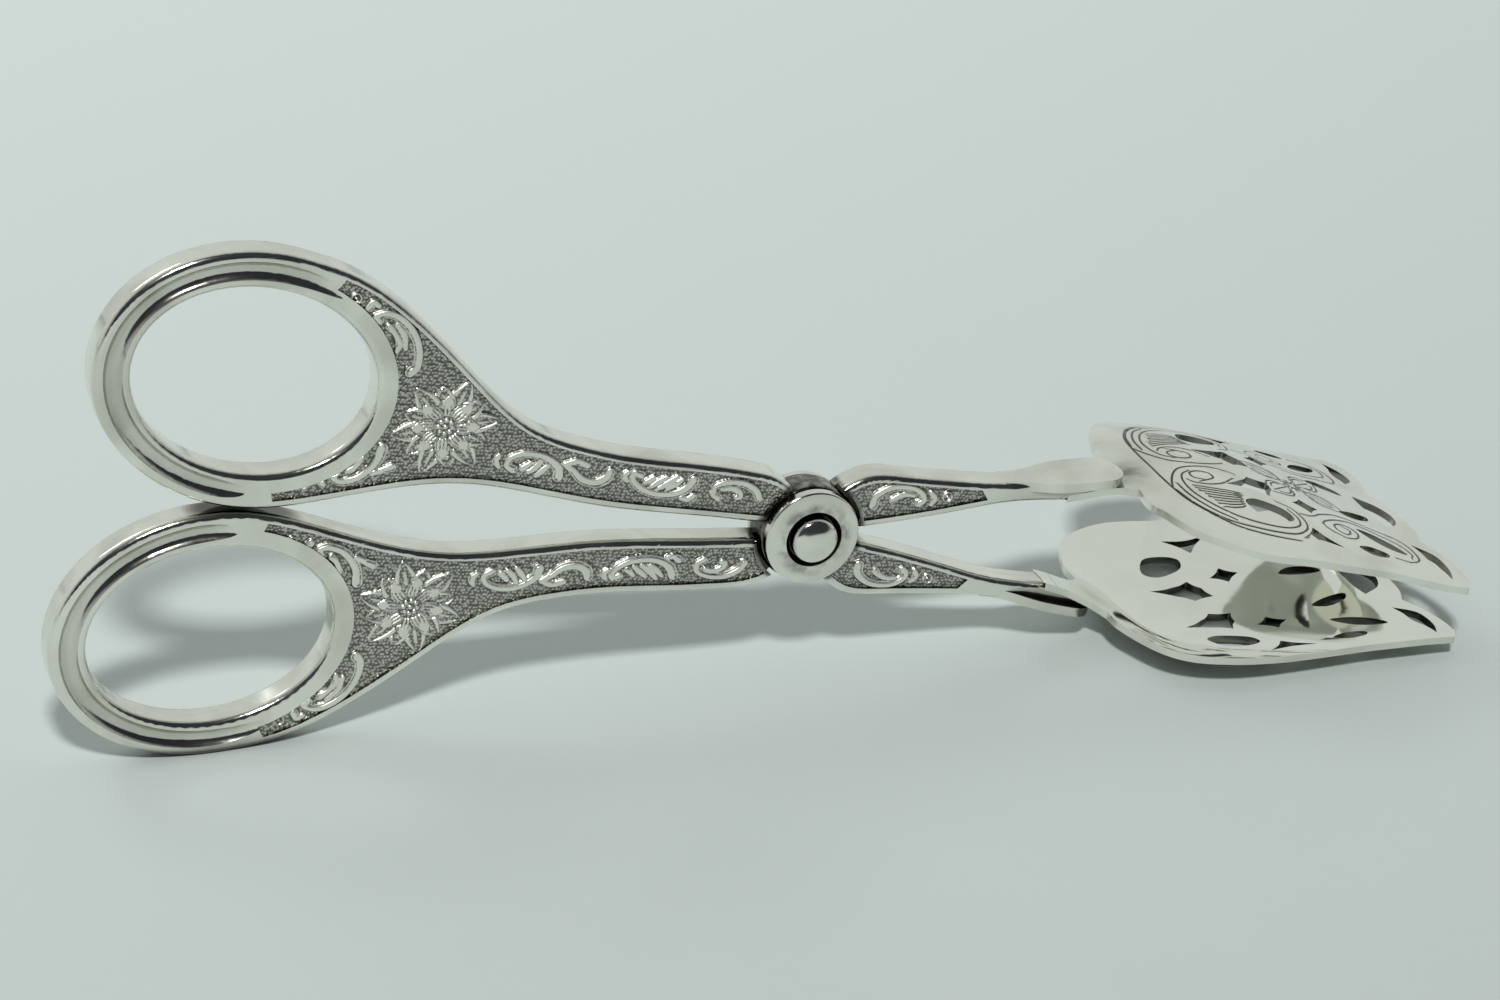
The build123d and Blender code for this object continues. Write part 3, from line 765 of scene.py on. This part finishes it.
def silver(name, roughness, tarnish, scratch, patina_and_shade, dark=PATINA, recess=True):
    """Worn polished silver, stained by `tarnish` and scratched; the darkening mask gives 1 where the colour
    is `dark`: patina, and on the struck relief painted shade as well.
    """
    nodes = Nodes(name)
    cloud = nodes.ramp(nodes.noise(90, 4, distortion=0.6), 0.42, 0.72, 0.0, tarnish)
    color = nodes.mix(cloud, SILVER, TARNISH)
    if recess:
        corners = nodes.math("MULTIPLY", nodes.recess(CORNER_REACH, CORNER_DARK, CORNER_CLEAR), 0.92)
        color = nodes.mix(corners, color, PATINA)
    # Darkening mask: patina, and for the struck relief painted shade as well.
    color = nodes.mix(patina_and_shade(nodes), color, dark)
    nodes.link(color, nodes.shader.inputs["Base Color"])
    nodes.shader.inputs["Metallic"].default_value = 1.0
    worn = nodes.ramp(nodes.noise(260, 5), 0.3, 0.7, roughness * 0.75, roughness * 1.35)
    nodes.link(worn, nodes.shader.inputs["Roughness"])
    fine = nodes.noise(700, 2, stretch=(1.0, 0.12, 0.5))
    broad = nodes.noise(160, 2)
    height = nodes.math("ADD", nodes.math("MULTIPLY", fine, 0.35), broad)
    bump = nodes.add("ShaderNodeBump")
    bump.inputs["Strength"].default_value = scratch
    bump.inputs["Distance"].default_value = 0.0002
    nodes.link(height, bump.inputs["Height"])
    nodes.link(bump.outputs["Normal"], nodes.shader.inputs["Normal"])
    return nodes.material


def lever_patina(nodes):
    """Black round the lap joint, where polish doesn't reach."""
    patchy = nodes.ramp(nodes.noise(900, 4), 0.35, 0.6, 0.6, 0.95)
    return nodes.math("MULTIPLY", nodes.collar(*LAP_STAIN), patchy)


def cap_patina(nodes):
    """Cloudy tarnish on the cap round the rivet's groove, black in the groove itself."""
    patchy = nodes.ramp(nodes.noise(420, 4), 0.45, 0.7, 0.0, 0.7)
    cloud = nodes.math("MULTIPLY", nodes.collar(*CAP_CLOUD), patchy)
    groove = nodes.math("MULTIPLY", nodes.collar(*CAP_GROOVE), 0.85)
    return nodes.math("MAXIMUM", cloud, groove)


def relief_patina_and_shade(nodes):
    """Dark where the ornament isn't rubbed bright: patina on the punched ground, and painted shade on the
    strokes' sloping sides.
    """
    return nodes.ramp(nodes.attribute("shine"), 0.12, 0.62, 0.93, 0.0)


def scoop_patina(nodes):
    """Dark in the engraved lines, on the walls of the openings and round the solder."""
    lines = nodes.ramp(nodes.attribute("cut"), 0.05, 0.42, 0.0, 1.0)
    lines = nodes.math("MAXIMUM", lines, nodes.math("MULTIPLY", nodes.attribute("wall"), 0.8))
    return nodes.math("MAXIMUM", lines, nodes.math("MULTIPLY", nodes.attribute("solder"), 0.8))


material_lever = silver("lever_silver", 0.12, 0.42, 0.05, lever_patina)
# The struck relief's dark colour stands for patina and for painted shade beside the strokes.
material_relief = silver("struck_silver", 0.36, 0.1, 0.02, relief_patina_and_shade, STRUCK_GROUND, recess=False)
material_scoop = silver("scoop_satin", 0.2, 0.3, 0.02, scoop_patina, recess=False)
material_bowl = silver("scoop_silver", 0.05, 0.14, 0.015, scoop_patina, recess=False)
material_pivot = silver("pivot_silver", 0.12, 0.3, 0.05, cap_patina)


# ---- the tongs -----------------------------------------------------------------------------------

LEVERS = {"front_lever": ("front_body", 1), "back_lever": ("back_body", -1)}
for node, (body, handle_side) in LEVERS.items():
    for face_name, face_z in (("front", THICK / 2), ("rear", -THICK / 2)):
        relief_sheet(f"{node}_{face_name}_handle_relief", node, body, face_z, handle_side, jaw=False)
        relief_sheet(f"{node}_{face_name}_jaw_relief", node, body, face_z, -handle_side, jaw=True)

scoop_shape = scoop_mesh()
build_scoop("upper_scoop_engraved", "upper_scoop", "back_body", 1, scoop_shape)
build_scoop("lower_scoop_engraved", "lower_scoop", "front_body", -1, scoop_shape)

CAD_LOOKS = {"front_lever": material_lever, "back_lever": material_lever, "front_cap": material_pivot,
             "rear_cap": material_pivot, "pivot_rivet": material_pivot}
for node, material in CAD_LOOKS.items():
    for slot in frame["nodes"][node].material_slots:
        slot.material = material


# ---- stage ---------------------------------------------------------------------------------------

FLOOR_HALF = 6.0
PAPER_NEAR, PAPER_NEAR_LIGHT = (0.422, 0.466, 0.451), (0.434, 0.478, 0.463)
# The far tone is painted light: the paper is coloured lighter at the back, as if more light fell there.
PAPER_FAR_PAINTED_LIGHT = (0.70, 0.765, 0.742)
PAINTED_LIGHT_FADE = (-0.12, 0.3)           # Y where the near tone ends and where the far tone begins


def floor():
    """A sheet of pale paper with painted light: its colour grows lighter towards the back, as if more light
    fell there.
    """
    mesh = bpy.data.meshes.new("floor")
    corners = [(x * FLOOR_HALF, y * FLOOR_HALF, 0) for x, y in ((-1, -1), (1, -1), (1, 1), (-1, 1))]
    mesh.from_pydata(corners, [], [(0, 1, 2, 3)])
    piece = bpy.data.objects.new("floor", mesh)
    bpy.context.collection.objects.link(piece)
    nodes = Nodes("paper")
    split = nodes.add("ShaderNodeSeparateXYZ")
    nodes.link(nodes.place, split.inputs["Vector"])
    # Painted light: the paper's colour lightens towards the back.
    back = nodes.ramp(split.outputs["Y"], *PAINTED_LIGHT_FADE, 0.0, 1.0)
    near = nodes.mix(nodes.noise(40, 3), PAPER_NEAR, PAPER_NEAR_LIGHT)
    nodes.link(nodes.mix(back, near, PAPER_FAR_PAINTED_LIGHT), nodes.shader.inputs["Base Color"])
    nodes.shader.inputs["Roughness"].default_value = 0.7
    mesh.materials.append(nodes.material)


# Name, place, width, height and watts. Every lamp faces the table below the middle of the tongs.
LAMPS = [("key", (-0.33, -0.9, 1.2), 0.16, 0.16, 18.5),
         ("window", (-0.65, 1.2, 1.15), 0.7, 0.5, 3.5)]


def lamp(name, place, width, height, watts):
    """A rectangular lamp."""
    data = bpy.data.lights.new(name, "AREA")
    data.shape = "RECTANGLE"
    data.size, data.size_y = width, height
    data.energy = watts
    piece = bpy.data.objects.new(name, data)
    piece.location = place
    piece.rotation_euler = (-Vector(place)).to_track_quat("-Z", "Y").to_euler()
    bpy.context.collection.objects.link(piece)


# How far towards the dark side each part of the room begins, and its colour.
BACKDROP = (0.1, (0.60, 0.635, 0.62))
CEILING = (0.5, (0.34, 0.35, 0.345))
ROOM = (0.68, (0.03, 0.031, 0.038))
DARK_SIDE = (0.05, -0.9, 0.43)      # direction of the dark part of the room


def surroundings():
    """A pale backdrop behind the tongs, a grey ceiling, and a dark room in front."""
    world = bpy.data.worlds.new("room")
    world.use_nodes = True
    tree = world.node_tree
    place = tree.nodes.new("ShaderNodeTexCoord")
    lean = tree.nodes.new("ShaderNodeVectorMath")
    lean.operation = "DOT_PRODUCT"
    lean.inputs[1].default_value = DARK_SIDE
    ramp = tree.nodes.new("ShaderNodeValToRGB")
    ramp.color_ramp.elements.new(0.5)
    for element, (position, color) in zip(ramp.color_ramp.elements, (BACKDROP, CEILING, ROOM)):
        element.position = position
        element.color = (*color, 1)
    tree.links.new(place.outputs["Generated"], lean.inputs[0])
    tree.links.new(lean.outputs["Value"], ramp.inputs["Fac"])
    tree.links.new(ramp.outputs["Color"], tree.nodes["Background"].inputs["Color"])
    tree.nodes["Background"].inputs["Strength"].default_value = 1.0
    bpy.context.scene.world = world


CAMERA_PLACE = (-0.1784, -0.4236, 0.2462)
CAMERA_TURN, CAMERA_DIP, CAMERA_ROLL = 22.50, 25.79, 3.49     # degrees
CAMERA_FIELD = 20.645                                         # degrees across the view
SENSOR = 36.0


def camera():
    """A long lens above the front left of the tongs."""
    data = bpy.data.cameras.new("camera")
    data.sensor_width = SENSOR
    data.lens = SENSOR / 2 / math.tan(math.radians(CAMERA_FIELD / 2))
    data.clip_start = 0.01
    piece = bpy.data.objects.new("camera", data)
    turn = Matrix.Rotation(math.radians(-CAMERA_TURN), 4, "Z")
    dip = Matrix.Rotation(math.radians(90 - CAMERA_DIP), 4, "X")
    roll = Matrix.Rotation(math.radians(CAMERA_ROLL), 4, "Z")
    piece.matrix_world = Matrix.Translation(CAMERA_PLACE) @ turn @ dip @ roll
    bpy.context.collection.objects.link(piece)
    bpy.context.scene.camera = piece


floor()
surroundings()
for settings in LAMPS:
    lamp(*settings)
camera()
bpy.context.scene.view_settings.view_transform = "Standard"
